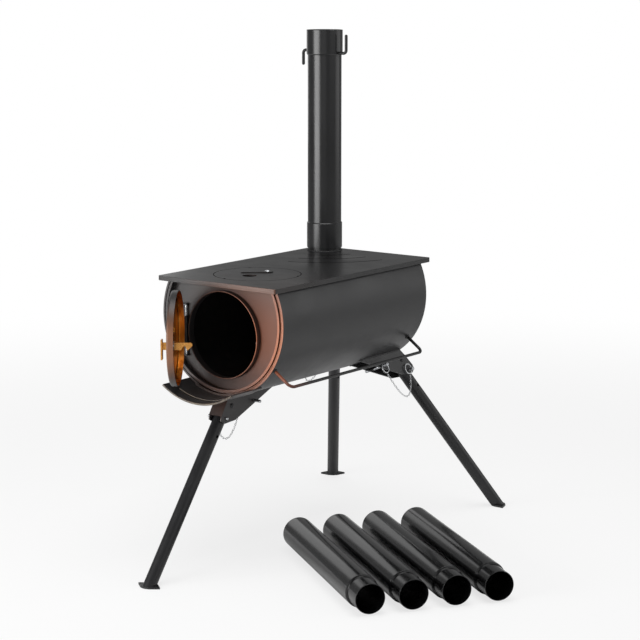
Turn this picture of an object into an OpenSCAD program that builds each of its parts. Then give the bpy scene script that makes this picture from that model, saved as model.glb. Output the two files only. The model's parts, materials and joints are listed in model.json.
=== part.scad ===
/* [Stance] */
// Height of the barrel's axis above the floor
axis_z = 393.8; // [385:0.1:420]
// Lean of the front leg out from the vertical, in degrees
front_lean = 36.5; // [32:0.1:40]
// Lean of the rear legs out along the barrel, in degrees
rear_lean = 27.5; // [22:0.1:32]
// Roll of the rear legs out to the sides, in degrees
rear_roll = 23.4; // [20:0.1:26]
// Sideways offset of the rear leg planes from the barrel's axis
rear_offset = 12; // [8:0.5:14]

/* [Barrel] */
// Outer radius of the barrel
barrel_r = 123.5; // [122:0.5:126]
// Length of the barrel
barrel_len = 397; // [370:1:430]
// Thickness of the barrel's sheet
barrel_wall = 1.5; // [1:0.1:2]
// Width of the rolled lip at each end of the barrel
lip_w = 3.4; // [2.5:0.1:4]
// Depth of the rolled lips
lip_depth = 4; // [2:0.5:6]
// Width of the flanges that carry the hotplate
top_flange_w = 5; // [3:0.5:5]

/* [Front plate] */
// Depth of the front plate behind the barrel's front edge
front_inset = 9; // [8:0.5:12]
// Thickness of the end plates
plate_t = 1.5; // [1:0.1:2]
// Gap between the barrel's skin and the front plate's rolled bead
bead_gap = 6.5; // [4.5:0.5:9]
// Thickness of the rolled bead
bead_t = 4.2; // [3:0.1:5]
// How far the bead stands out of the barrel's front edge
bead_out = 2; // [1:0.5:3]
// Depth of the back plate inside the barrel's rear edge
back_inset = 3; // [2:0.5:3.5]

/* [Hotplate] */
// How far the hotplate's sides stay inside the barrel's
hotplate_side = 3.5; // [0:0.5:6]
// Overhang of the hotplate at each end of the barrel
hotplate_overhang = 16.5; // [12:0.5:25]
// How far the hotplate's top lies below the top of the barrel's circle
hotplate_sink = 61.3; // [60:0.1:63]
// Thickness of the hotplate
hotplate_t = 2.5; // [2:0.1:3]
// Depth of the hotplate's turned-down rim
hotplate_rim = 7.8; // [6:0.1:10]
// Corner radius of the hotplate
hotplate_corner = 4; // [3:0.5:8]
// Radius of the lid
lid_r = 70.6; // [66:0.1:72]
// Distance of the lid's centre from the hotplate's front edge
lid_from_front = 106.8; // [100:0.1:115]
// Width of the seat under the lid
lid_seat_w = 4.6; // [3:0.1:8]
// Thickness of the seat under the lid
lid_seat_t = 2; // [1.5:0.1:3]
// Radius of the lifter hole
lifter_hole_r = 11.75; // [9:0.25:13]
// Distance of the lifter hole from the lid's centre
lifter_hole_from_centre = 19.8; // [18:0.1:24]
// Distance of the swing tab's rivet from the lid's centre
tab_rivet_from_centre = 26.6; // [24:0.1:30]
// Length of the swing tab from its rivet
tab_len = 44; // [38:1:46]
// Thickness of the swing tab
tab_t = 1.5; // [1:0.1:2]
// Angle of the swing tab at rest, in degrees
tab_angle = 225; // [200:1:240]
// Radius of the notches in the lid's rim
notch_r = 3; // [2:0.5:4]
// Angle of the first of the three notches, in degrees
notch_angle = 19; // [10:1:40]
// Radius of the lid's rivet
rivet_r = 2; // [1.5:0.1:2.5]
// Radius of the rivet's domed head
rivet_head_r = 5; // [4:0.1:6]
// Height of the rivet's domed head
rivet_head_h = 2.2; // [1.5:0.1:3]
// Radius of the first arc groove round the flue
groove_first_r = 71; // [66:0.5:76]
// Distance between neighbouring arc grooves
groove_pitch = 43; // [36:0.5:46]
// Angle at which the arc grooves start, in degrees
groove_start = -76; // [-85:1:-60]
// Angle that the arc grooves sweep, in degrees
groove_sweep = 61; // [40:1:75]
// Width of the arc grooves
groove_w = 2.2; // [1.5:0.1:3]
// Depth of the arc grooves
groove_depth = 1; // [0.5:0.1:1.4]

/* [Door] */
// Height of the door's centre below the barrel's axis
door_drop = 24.8; // [22:0.1:26]
// How far the door's rim stays inside the barrel's skin
door_side = 47.5; // [46:0.5:49]
// Depth of the door pan
door_depth = 11; // [9:0.5:13]
// Thickness of the door's sheet
door_t = 1.3; // [1:0.1:1.6]
// Radius of the rounding round the door's outer face
door_round = 3; // [2:0.5:4]
// How far the ring round the door opening stays inside the door's rim
ring_side = 5; // [4.5:0.5:8]
// Thickness of the ring round the door opening
ring_t = 1.7; // [1.2:0.1:2]
// Width of the ring's flange behind the front plate
ring_flange = 5; // [3:0.5:7]
// How far the ring reaches in behind the front plate
ring_lap = 2; // [1.5:0.1:4]
// Gap between the front edge of the ring and the mouth of the closed door
door_lap = 3.3; // [2:0.1:5]
// Distance of the hinge axis from the door's rim
hinge_side = 3.5; // [3:0.1:4]
// Angle that the door stands open, in degrees
door_open = 56; // [30:1:80]
// Radius of the hinge pin
hinge_pin_r = 1.75; // [1.5:0.05:2]
// Radius of the hinge knuckle
knuckle_r = 2.75; // [2.5:0.05:2.9]
// Length of the hinge knuckle
knuckle_len = 45; // [35:1:60]
// Width of the hinge bracket's web
hinge_web_w = 6; // [5:0.5:6]
// Gap between the hinge knuckle and the bracket's web
knuckle_gap = 1.2; // [0.8:0.1:1.4]
// Gap between the hinge bracket's lower corner and the front plate's rolled bead
hinge_room = 1.2; // [0.8:0.1:4]

/* [Latch] */
// How far the latch lever stays inside the door's rim
latch_side = 17; // [15.5:0.5:22]
// Thickness of the latch lever
lever_t = 2.4; // [2:0.1:3]
// Height of the latch lever's bar
lever_h = 11.8; // [10:0.1:13]
// How far the lever's bar reaches below the latch pin
lever_drop = 7.3; // [6:0.1:8]
// Distance of the latch pin from the door's inner face
lever_pivot = 6.3; // [6:0.1:8]
// Reach of the lever from the door's outer face to its tip
lever_reach = 39; // [37:0.5:42]
// Height of the lever's outer tongue
tongue_h = 31.5; // [24:0.5:36]
// Distance of the tongue from the door's outer face
tongue_out = 8.5; // [7:0.5:10]
// Height of the slot in the door that the lever passes through
slot_h = 18; // [17:0.5:20]
// How far the slot reaches below the latch pin
slot_drop = 10; // [9:0.5:11]
// Radius of the latch pin
latch_pin_r = 1.5; // [1.2:0.1:2]
// Thickness of the latch bracket's cheeks
cheek_t = 1.5; // [1:0.1:2]
// Distance of the keeper behind the front plate
keeper_inset = 8.5; // [7.5:0.5:10]
// Thickness of the keeper
keeper_t = 1.5; // [1:0.1:2]
// Height of the keeper
keeper_h = 12; // [10:0.5:14]

/* [Air vent] */
// Radius of the air vent disc
vent_r = 32; // [28:1:36]
// Thickness of the air vent disc
vent_t = 1.2; // [1:0.1:1.5]
// Radius of the air holes
vent_hole_r = 6; // [4:0.5:7]
// Distance of the air holes from the disc's centre
vent_hole_from_centre = 20; // [16:0.5:21]

/* [Ember ledge] */
// Thickness of the ember ledge
ledge_t = 2.1; // [1.5:0.1:2.5]
// Half angle of the ember ledge, in degrees
ledge_half_angle = 34.3; // [28:0.1:36]
// Reach of the ember ledge in front of the barrel
ledge_reach = 63; // [50:1:80]
// Lap of the ember ledge under the barrel
ledge_lap = 12; // [8:1:16]
// Thickness of the ember tray
tray_t = 1.5; // [1:0.1:2]
// Half angle of the ember tray, in degrees
tray_half_angle = 25.5; // [20:0.1:28]
// Length of the ember tray along the barrel
tray_len = 39.6; // [30:0.1:50]
// Gap between the ember tray and the front of the barrel
tray_gap = 4.5; // [3:0.5:8]

/* [Side rail] */
// Diameter of the rail's wire
rail_d = 5; // [4:0.5:6]
// Distance of the rail's wire from the barrel's skin
rail_out = 38.5; // [30:0.5:45]
// Angle of the rail below the horizontal, in degrees
rail_angle = 35.7; // [30:0.1:42]
// Distance of the rail's front arm from the barrel's front edge
rail_front = 8; // [5:1:30]
// Length of the rail along the barrel
rail_len = 366.5; // [300:0.5:370]
// Bend radius of the rail
rail_bend = 10; // [6:0.5:14]

/* [Flue] */
// Distance of the flue's axis from the left side of the hotplate
flue_from_side = 38; // [36:0.5:40]
// Distance of the flue from the barrel's rear edge
flue_from_rear = 15.5; // [12:0.5:24]
// Outer radius of the spigot on the hotplate
spigot_r = 29.4; // [28:0.1:30]
// Height of the spigot
spigot_h = 42; // [30:1:42]
// Thickness of the flue's sheet
flue_wall = 1; // [0.8:0.1:1.2]
// Radius of the smoke hole
smoke_hole_r = 18.5; // [16:0.5:19]
// How far the smoke hole lies in front of the flue's axis
smoke_hole_forward = 8.5; // [7:0.5:10]
// Height of the flue section's foot above the hotplate
flue_lift = 5.3; // [3:0.1:8]
// Height of the widened socket at the foot of the flue section
socket_h = 43.4; // [38:0.1:50]
// Height of the slope from the socket to the tube
socket_slope = 1.2; // [0.8:0.1:3]
// Height of the flue's top collar above the hotplate
collar_top = 382.6; // [350:0.1:420]
// Height of the top collar
collar_h = 42.6; // [38:0.1:50]
// Thickness of the top collar's sheet
collar_wall = 1.5; // [1.2:0.1:2]
// Height of the slope at the top collar's lower edge
collar_slope = 2; // [1:0.1:3]
// Depth of the cup in the top collar
collar_cup = 16; // [10:0.5:18]
// Lap of the top collar over the flue section
collar_lap = 18; // [14:0.5:20]
// Distance of the upright parts of the hooks from the flue's axis
hook_reach = 46; // [42:0.5:50]
// Diameter of the hooks' wire
hook_d = 5.2; // [4:0.1:6]
// Bend radius of the hooks
hook_bend = 5.5; // [5:0.5:8]
// Length of the right hook's upright part
hook_up = 32; // [22:0.5:34]
// Height of the right hook above the collar's lower edge
hook_right_rise = 3; // [3:0.5:10]
// Length of the left hook's hanging part
hook_down = 26; // [14:0.5:30]
// Height of the left hook above the collar's lower edge
hook_left_rise = 7; // [4:0.5:12]

/* [Loose flue sections] */
// Outer radius of a loose section
loose_r = 26; // [25:0.5:28]
// Length of a loose section
loose_len = 364; // [320:1:380]
// Outer radius of a loose section's narrowed end
swage_r = 23.5; // [22:0.1:23.6]
// Length of a loose section's narrowed end
swage_len = 39; // [30:1:45]
// Length of the slope up from the narrowed end
swage_slope = 1.5; // [1:0.1:4]
// Distance between neighbouring loose sections
loose_pitch = 68.6; // [60:0.1:75]
// Heading of the loose sections, in degrees
loose_heading = 144.5; // [140:0.5:150]
// Distance of the first loose section to the right of the front foot
loose_start_x = 354; // [350:1:380]
// Distance of the first loose section behind the front foot
loose_start_y = 92.6; // [80:0.1:100]

/* [Legs] */
// Outer radius of a leg tube
leg_r = 10.25; // [9:0.25:10.25]
// Wall of a leg tube
leg_wall = 1.5; // [1:0.1:2]
// Length of the leg tube above its pivot
leg_head = 5; // [4:0.5:5.5]
// Distance of the pivots from the barrel's ends
pivot_inset = 7; // [7:0.5:9]
// Distance of the pivots below the barrel's skin
pivot_below = 15.5; // [15:0.1:16.5]
// Radius of the pivot bolts
bolt_r = 2.5; // [2:0.1:3]
// Radius of the pivot bolts' heads
bolt_head_r = 4.2; // [3.5:0.1:5]
// Radius of the pins
pin_r = 2.5; // [2:0.1:2.5]
// Distance of the lock pin from the pivot
lock_reach = 23; // [22:0.5:24]
// Angle of the curved slot that a leg tube has for its lock pin, in degrees
slot_sweep = 45; // [40:1:60]
// Distance of the stow pin from the pivot
stow_reach = 56; // [50:1:60]
// Height of the stow pin below the pivot
stow_below = 1; // [0:0.5:2]
// How far the stow pin's tip stands out
stow_tip = 15; // [8:1:15]
// How far the lock pin's tip stands out
lock_tip = 4; // [3:0.5:6]
// Radius of the pins' ball heads
pin_head_r = 3.4; // [3:0.1:4]
// Distance of the ball heads from the bracket
pin_head_out = 8; // [7:0.5:10]
// Distance of the rings from the bracket
ring_out = 3; // [2.5:0.5:4]
// Angle at which the lock pins' rings hang off to the rear, in degrees
ring_turn = 25; // [10:1:35]
// Mean radius of the pins' rings
pull_ring_r = 8.6; // [7.5:0.1:9]
// Radius of the rings' wire
pull_ring_wire = 0.9; // [0.7:0.1:1.1]
// Sag of the chains between the rings
chain_sag = 40; // [30:1:50]
// Radius of the chains
chain_r = 1.2; // [1:0.1:1.5]
// Thickness of a foot
foot_t = 3; // [2.5:0.5:4]
// Radius of a foot
foot_r = 12.5; // [11.5:0.5:14]
// Distance from a foot's centre to the tips of its ears
ear_reach = 22.5; // [20:0.5:26]
// Radius of the holes in the ears
ear_hole_r = 2; // [1.5:0.1:2.5]

/* [Leg brackets] */
// Outer width of a leg bracket
bracket_w = 26; // [26:0.5:28]
// Thickness of a leg bracket's sheet
bracket_t = 2.2; // [1.8:0.1:2.2]
// Length of a leg bracket along the barrel
bracket_len = 120; // [110:1:130]
// Distance of a leg bracket from the end of the barrel
bracket_inset = 2; // [1:0.5:2.5]
// How far a bracket's nose stands out past its weld
nose_out = 22; // [21:0.5:24]
// Depth of a bracket's nose below the barrel's skin
nose_depth = 42; // [41:0.5:44]
// Depth to which a bracket's front is closed below the barrel's skin
web_depth = 28.5; // [24:0.5:30]

/* [Fits] */
// Gap between welded pieces
weld_gap = 0.1; // [0.05:0.05:0.15]
// Radial play of pins and hinges
play = 0.06; // [0.03:0.01:0.1]
// Gap between pieces that slip over each other
slip = 0.4; // [0.3:0.05:0.5]
// Gap between a piece and the stop or seat that it rests on
rest_gap = 0.3; // [0.1:0.1:0.5]
// Gap beside pieces that stand free of each other
seam = 0.5; // [0.4:0.1:0.6]

/* [Hidden] */
$fn = 96;
far = 1000;
cut = 1;
fine = 48;
black = "#2b2b2c";
soot = "#3a3531";
steel = "#b9bcbf";

// Barrel and plates
pivot_drop = barrel_r + pivot_below;
hotplate_rise = barrel_r - hotplate_sink;
front_y = (axis_z - pivot_drop) * tan(front_lean) - pivot_inset;
rear_y = front_y + barrel_len;
top_z = axis_z + hotplate_rise;
under_z = top_z - hotplate_t;
chord_z = hotplate_rise - hotplate_t;
bead_outer_r = barrel_r - bead_gap;
flange_r = bead_outer_r - bead_t / 2 + plate_t / 2;
bead_y = front_y - bead_out;
plate_y = front_y + front_inset;
hotplate_w = 2 * (barrel_r - hotplate_side);
hotplate_front_y = front_y - hotplate_overhang;
hotplate_len = barrel_len + 2 * hotplate_overhang;
lid_y = hotplate_front_y + lid_from_front;
tab_rivet_y = lid_y + tab_rivet_from_centre;
rivet_tail_r = rivet_r + 1.4;
rivet_tail_h = 1.2;

// Door, in its own frame: x from the hinge axis, y from the hinge axis, z from the door's centre
door_r = barrel_r - door_side;
ring_r = door_r - ring_side;
hinge_x = door_r + hinge_side;
latch_x = hinge_x + door_r - latch_side;
door_z = axis_z - door_drop;
hinge_y = plate_y - knuckle_r - seam;
mouth_y = front_y + door_lap - hinge_y;
face_y = mouth_y - door_depth;
inner_face_y = face_y + door_t;
lever_y = inner_face_y + lever_pivot;
lever_low = -lever_drop;
lever_high = lever_low + lever_h;
keeper_y = plate_y + keeper_inset;
keeper_top = lever_low - seam;
cheek_x = lever_t / 2 + slip;
hinge_web_x = knuckle_r + knuckle_gap + hinge_web_w;
hinge_corner_r = bead_outer_r - bead_t - hinge_room;
hinge_span = 2 * (sqrt(pow(hinge_corner_r, 2) - pow(hinge_x + hinge_web_x, 2)) - door_drop);
notch_y = keeper_y + keeper_t / 2 - hinge_y;

// Flue
flue_x = hotplate_w / 2 - flue_from_side;
flue_y = rear_y - flue_from_rear;
smoke_hole_y = flue_y - smoke_hole_forward;
spigot_inner_r = spigot_r - flue_wall;
socket_r = spigot_r + slip + flue_wall;
tube_r = spigot_r - weld_gap;
collar_inner_r = tube_r + slip;
collar_r = collar_inner_r + collar_wall;
collar_z = top_z + collar_top - collar_h;
flue_top_z = collar_z + collar_lap;
neck_r = swage_r + rest_gap;
shelf_z = top_z + collar_top - collar_cup;

// Legs: k is 0 in front, 1 at the right and 2 at the left. Frame k has x across the bracket,
// y in along the barrel and z up from the barrel's axis
roll = [0, rear_roll, rear_roll];
lean = [front_lean, rear_lean, rear_lean];
shift = [0, rear_offset, rear_offset];
floor_drop = [for (k = [0:2]) (axis_z + shift[k] * sin(roll[k])) / cos(roll[k])];
leg_len = [for (k = [0:2]) (floor_drop[k] - pivot_drop) / cos(lean[k])];
outer_half = bracket_w / 2;
stow_y = pivot_inset + stow_reach;
stow_z = -pivot_drop - stow_below;
ring_hang = pull_ring_r - pull_ring_wire - pin_r - 2 * weld_gap;
chain_hang = pull_ring_r + pull_ring_wire + chain_r + 2 * weld_gap;
ring_x = -outer_half - ring_out;
chain_steps = 15;
function lock_y(k) = pivot_inset - lock_reach * sin(lean[k]);
function lock_z(k) = -pivot_drop - lock_reach * cos(lean[k]);
function foot_x(k) = (k == 2 ? -1 : 1) * (shift[k] * cos(roll[k]) + floor_drop[k] * sin(roll[k]));
function foot_y(k) = k == 0 ? 0 : rear_y - pivot_inset + leg_len[k] * sin(lean[k]);
function leg_side(k) = k == 2 ? -1 : 1;

// A point of leg frame k in the stove's own frame
function leg_point(k, p) = k == 0
    ? [p[0], front_y + p[1], axis_z + p[2]]
    : [leg_side(k) * ((shift[k] - p[0]) * cos(roll[k]) - p[2] * sin(roll[k])),
        rear_y - p[1],
        axis_z + (shift[k] - p[0]) * sin(roll[k]) + p[2] * cos(roll[k])];

// A cylinder along Y from y0 to y1
module along_y(r, y0, y1) {
    translate([0, y0, 0]) rotate([-90, 0, 0]) cylinder(r = r, h = y1 - y0);
}

// A cylinder along X from x0 to x1
module along_x(r, x0, x1) {
    translate([x0, 0, 0]) rotate([0, 90, 0]) cylinder(r = r, h = x1 - x0);
}

// A bore along X, through everything near the axis
module bore_x(r) {
    along_x(r, -bracket_w * 2, bracket_w * 2);
}

// A low round head standing on z = 0
module dome(r, h) {
    ball_r = (r * r + h * h) / (2 * h);
    intersection() {
        translate([0, 0, h - ball_r]) sphere(r = ball_r);
        cylinder(r = r + cut, h = h + cut);
    }
}

// The barrel's outline: a circle cut off by a level line
module cut_circle(r, level) {
    intersection() {
        circle(r = r);
        translate([-far / 2, -far + level]) square([far, far]);
    }
}

// Extrudes an outline drawn in X and Z along Y, from y0 to y1
module slab_y(y0, y1) {
    translate([0, y1, 0]) rotate([90, 0, 0]) linear_extrude(y1 - y0) children();
}

// Extrudes an outline drawn in Y and Z along X, centred
module slab_x(w) {
    rotate([90, 0, 90]) linear_extrude(w, center = true) children();
}

// Places the barrel's own frame: x = 0 and z = 0 on its axis
module at_axis() {
    translate([0, 0, axis_z]) children();
}

module round_rect(x, y, r) {
    for (i = [0, 1]) {
        square_x = i == 0 ? x - 2 * r : x;
        square_y = i == 0 ? y : y - 2 * r;
        translate([-square_x / 2, (y - square_y) / 2]) square([square_x, square_y]);
    }
    for (i = [-1, 1], j = [0, 1]) {
        translate([i * (x / 2 - r), j == 0 ? r : y - r]) circle(r = r);
    }
}

// ---- Barrel and hotplate

module groove(r) {
    translate([-flue_x, flue_y, top_z - groove_depth])
        rotate([0, 0, groove_start])
            rotate_extrude(angle = groove_sweep)
                translate([r - groove_w / 2, 0])
                    square([groove_w, groove_depth + cut]);
}

module hotplate() color(black) {
    difference() {
        translate([0, hotplate_front_y, top_z - hotplate_rim])
            linear_extrude(hotplate_rim)
                round_rect(hotplate_w, hotplate_len, hotplate_corner);
        translate([0, hotplate_front_y + hotplate_t, top_z - hotplate_rim - cut])
            linear_extrude(hotplate_rim - hotplate_t + cut)
                round_rect(
                    hotplate_w - 2 * hotplate_t,
                    hotplate_len - 2 * hotplate_t,
                    hotplate_corner - hotplate_t
                );
        translate([0, lid_y, 0]) plate_hole(lid_r + seam);
        translate([-flue_x, smoke_hole_y, 0]) plate_hole(smoke_hole_r);
        for (i = [0:2]) {
            groove(groove_first_r + i * groove_pitch);
        }
    }
    translate([0, lid_y, under_z - lid_seat_t]) difference() {
        cylinder(r = lid_r + lid_seat_w, h = lid_seat_t);
        translate([0, 0, -cut]) cylinder(r = lid_r - lid_seat_w, h = lid_seat_t + 2 * cut);
    }
}

// A round hole through the hotplate or its lid
module plate_hole(r) {
    translate([0, 0, under_z - cut]) cylinder(r = r, h = hotplate_t + 2 * cut);
}

module hotplate_lid() color(black) translate([0, lid_y, 0]) difference() {
    translate([0, 0, under_z]) cylinder(r = lid_r, h = hotplate_t);
    translate([0, -lifter_hole_from_centre, 0]) plate_hole(lifter_hole_r);
    translate([0, tab_rivet_from_centre, 0]) plate_hole(rivet_r + weld_gap);
    for (i = [0:2]) {
        rotate([0, 0, notch_angle + i * 120]) translate([lid_r, 0, 0]) plate_hole(notch_r);
    }
}

module lid_swing_tab() color(black) {
    wide_r = 9;
    tip_r = 3.5;
    tip_x = tab_len - tip_r;
    wide = wide_r - weld_gap;
    tip = tip_r - weld_gap;
    translate([0, tab_rivet_y, top_z + weld_gap]) rotate([0, 0, tab_angle]) linear_extrude(tab_t)
        difference() {
            union() {
                circle(r = wide_r);
                translate([tip_x, 0]) circle(r = tip_r);
                polygon([[cut, -wide], [tip_x, -tip], [tip_x, tip], [cut, wide]]);
            }
            circle(r = rivet_r + play);
        }
}

module lid_rivet() color(steel) translate([0, tab_rivet_y, 0]) {
    head_z = top_z + tab_t + 2 * weld_gap;
    tail_z = under_z - weld_gap;
    translate([0, 0, tail_z - rivet_tail_h]) cylinder(r = rivet_tail_r, h = rivet_tail_h);
    translate([0, 0, tail_z - cut]) cylinder(r = rivet_r, h = head_z - tail_z + 2 * cut);
    translate([0, 0, head_z]) dome(rivet_head_r, rivet_head_h);
}

module barrel_shell() color(black) at_axis() {
    slab_y(front_y, rear_y) difference() {
        cut_circle(barrel_r, chord_z);
        circle(r = barrel_r - barrel_wall);
    }
    for (y = [front_y, rear_y - lip_depth]) {
        slab_y(y, y + lip_depth) difference() {
            cut_circle(barrel_r, chord_z);
            circle(r = barrel_r - lip_w);
        }
    }
    chord_half = sqrt(barrel_r * barrel_r - chord_z * chord_z);
    for (s = [-1, 1]) {
        slab_y(front_y + front_inset + plate_t + weld_gap, rear_y - back_inset - plate_t - weld_gap)
            translate([s * (chord_half - top_flange_w / 2) - top_flange_w / 2, chord_z - barrel_wall])
                square([top_flange_w, barrel_wall]);
    }
}

module front_plate() color(soot) at_axis() {
    top = chord_z - weld_gap;
    slab_y(plate_y, plate_y + plate_t) difference() {
        cut_circle(barrel_r - barrel_wall - weld_gap, top);
        translate([0, -door_drop]) circle(r = ring_r + weld_gap);
    }
    slab_y(bead_y + bead_t / 2, plate_y + seam) difference() {
        cut_circle(flange_r, top - bead_t / 2 + plate_t / 2);
        cut_circle(flange_r - plate_t, top - bead_t / 2 - plate_t / 2);
    }
    slab_y(bead_y, bead_y + bead_t) difference() {
        cut_circle(bead_outer_r, top);
        cut_circle(bead_outer_r - bead_t, top - bead_t);
    }
}

module door_ring() color(soot) at_axis() translate([0, 0, -door_drop]) difference() {
    back_y = plate_y + plate_t + ring_lap;
    union() {
        along_y(ring_r, front_y, back_y);
        along_y(ring_r + ring_flange, plate_y + plate_t + weld_gap, back_y);
    }
    along_y(ring_r - ring_t, front_y - cut, back_y + cut);
}

module back_plate() color(black) at_axis() {
    y = rear_y - back_inset - plate_t;
    slab_y(y, y + plate_t) cut_circle(barrel_r - lip_w - weld_gap, chord_z - weld_gap);
}

// Sheet that is bent round the barrel's axis, centred below it
module arc_band(inner_r, t, half_angle, y0, y1) {
    translate([0, y1, 0]) rotate([90, 0, 0]) rotate([0, 0, -90 - half_angle])
        rotate_extrude(angle = 2 * half_angle)
            translate([inner_r, 0])
                square([t, y1 - y0]);
}

module ember_ledge() color(black) at_axis() {
    inner_r = barrel_r + weld_gap;
    hem_r = 1.75;
    y0 = front_y - ledge_reach;
    arc_band(inner_r, ledge_t, ledge_half_angle, y0, front_y + ledge_lap);
    translate([0, y0, 0]) rotate([90, 0, 0]) rotate([0, 0, -90 - ledge_half_angle])
        rotate_extrude(angle = 2 * ledge_half_angle)
            translate([inner_r + hem_r, 0])
                circle(r = hem_r, $fn = fine);
}

module ember_tray() color(black) at_axis() {
    outer_r = barrel_r - rest_gap;
    lip = 3;
    y1 = front_y - tray_gap;
    y0 = y1 - tray_len;
    arc_band(outer_r - tray_t, tray_t, tray_half_angle, y0, y1);
    arc_band(outer_r - tray_t - lip, lip + seam, tray_half_angle, y1 - tray_t, y1);
}

// ---- Door

module at_hinge() {
    translate([-hinge_x, hinge_y, door_z]) children();
}

module at_door() {
    at_hinge() rotate([0, 0, -door_open]) children();
}

module hinge_bracket() color(black) {
    web_t = 1.5;
    lug_t = 2;
    web_x = -hinge_web_x;
    lug_y = -knuckle_r - seam;
    back = plate_y - hinge_y - weld_gap;
    lug_size = [knuckle_r + rest_gap - web_x, back - lug_y, lug_t];
    at_hinge() difference() {
        union() {
            translate([web_x, back - web_t, -hinge_span / 2]) cube([hinge_web_w, web_t, hinge_span]);
            for (z = [-hinge_span / 2, hinge_span / 2 - lug_t]) {
                translate([web_x, lug_y, z]) cube(lug_size);
            }
        }
        translate([0, 0, -hinge_span]) cylinder(r = hinge_pin_r + weld_gap, h = 2 * hinge_span);
    }
}

module hinge_pin() color(steel) at_hinge() {
    head_r = hinge_pin_r + 1.4;
    head_h = 1.8;
    half = hinge_span / 2 + weld_gap;
    translate([0, 0, -half]) cylinder(r = hinge_pin_r, h = 2 * half);
    for (end = [0, 1]) {
        mirror([0, 0, end]) translate([0, 0, half]) dome(head_r, head_h);
    }
}

// The rounding round the door's outer face, of a given radius
module door_edge(r) {
    translate([0, face_y + door_round, 0]) rotate([90, 0, 0])
        rotate_extrude()
            translate([door_r - door_round, 0])
                intersection() {
                    circle(r = r, $fn = fine);
                    translate([0, -cut]) square([door_round, door_round + cut]);
                }
}

// The three air holes, through both the door and the vent disc
module air_holes() {
    for (i = [0:2]) {
        rotate([0, 90 + i * 120, 0]) translate([vent_hole_from_centre, 0, 0])
            along_y(vent_hole_r, -door_r, door_r);
    }
}

module door_pan() color(soot) at_door() translate([hinge_x, 0, 0]) difference() {
    slot_side = 0.8;
    union() {
        difference() {
            along_y(door_r, face_y + door_round, mouth_y);
            along_y(door_r - door_t, face_y, mouth_y + cut);
        }
        difference() {
            union() {
                along_y(door_r - door_round, face_y, face_y + door_t);
                intersection() {
                    door_edge(door_round);
                    along_y(door_r, face_y, face_y + door_round);
                }
            }
            door_edge(door_round - door_t);
        }
    }
    air_holes();
    along_y(rivet_r + weld_gap, face_y - cut, mouth_y);
    translate([latch_x - hinge_x - lever_t / 2 - slot_side, face_y - cut, -slot_drop])
        cube([lever_t + 2 * slot_side, door_t + door_round, slot_h]);
}

module door_knuckle() color(black) at_door() difference() {
    leaf_end = 2;
    leaf_size = [9, 3.4, knuckle_len - 2 * leaf_end];
    union() {
        translate([0, 0, -knuckle_len / 2]) cylinder(r = knuckle_r, h = knuckle_len);
        translate([-0.8, mouth_y - 1.6, -leaf_size[2] / 2]) cube(leaf_size);
    }
    translate([hinge_x, 0, 0]) along_y(door_r + weld_gap, -2 * door_depth, 2 * door_depth);
    translate([0, 0, -knuckle_len]) cylinder(r = hinge_pin_r + play, h = 2 * knuckle_len);
}

module latch_lever() color(steel) at_door() translate([latch_x, 0, 0]) difference() {
    tip_y = face_y + lever_reach;
    tail_y = face_y - tongue_out;
    nose = 2;
    nose_drop = 5;
    tooth_y = tip_y - 7;
    notch_h = 6;
    tongue_size = [12, 2.4, tongue_h];
    tongue_top = lever_high + 4.5;
    union() {
        slab_x(lever_t) polygon([
            [tail_y, lever_high],
            [tip_y - nose, lever_high],
            [tip_y, lever_high - nose],
            [tip_y, lever_high - nose_drop],
            [tooth_y, lever_low],
            [notch_y + 4.6, lever_low],
            [notch_y + 2.2, lever_low + notch_h],
            [notch_y - 1.6, lever_low + notch_h],
            [notch_y - 4, lever_low],
            [tail_y, lever_low]
        ]);
        translate([-tongue_size[0] / 2, tail_y - tongue_size[1] / 2, tongue_top - tongue_h])
            cube(tongue_size);
    }
    translate([0, lever_y, 0]) bore_x(latch_pin_r + play);
}

module latch_bracket() color(steel) at_door() translate([latch_x, inner_face_y + weld_gap, 0]) {
    cheek_h = 12;
    cheek_reach = 9.5;
    base_w = 7;
    for (s = [0, 1]) {
        mirror([s, 0, 0]) difference() {
            translate([cheek_x, 0, -cheek_h / 2]) {
                cube([cheek_t, cheek_reach, cheek_h]);
                cube([base_w, cheek_t, cheek_h]);
            }
            translate([0, lever_pivot - weld_gap, 0]) bore_x(latch_pin_r + weld_gap / 2);
        }
    }
}

module latch_pin() color(steel) at_door() translate([latch_x, lever_y, 0]) {
    half = cheek_x + cheek_t + weld_gap;
    along_x(latch_pin_r, -half, half);
    for (s = [-1, 1]) {
        translate([s * half, 0, 0]) rotate([0, s * 90, 0]) dome(latch_pin_r + 1, 1);
    }
}

module latch_keeper() color(steel) translate([0, 0, door_z]) {
    bore = ring_r - ring_t - weld_gap;
    side_x = 40;
    flange_w = 15;
    front_gap = 3;
    intersection() {
        translate([side_x, front_y, keeper_top - keeper_h]) cube([side_x, far, keeper_h]);
        union() {
            difference() {
                along_y(bore, front_y + front_gap, keeper_y + keeper_t);
                along_y(bore - keeper_t, front_y, far);
            }
            intersection() {
                translate([bore - flange_w, keeper_y, -far]) cube([flange_w, keeper_t, 2 * far]);
                along_y(bore, keeper_y, keeper_y + keeper_t);
            }
        }
    }
}

module at_vent() {
    at_door() translate([hinge_x, face_y - weld_gap, 0]) children();
}

module air_vent_disc() color(black) at_vent() difference() {
    grip_out = 2.5;
    grip_size = [1.5, grip_out + vent_t / 2, 10];
    union() {
        along_y(vent_r, -vent_t, 0);
        translate([cut - vent_r, -vent_t - grip_out, -grip_size[2] / 2]) cube(grip_size);
    }
    along_y(rivet_r + play, -vent_r, vent_r);
    air_holes();
}

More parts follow.
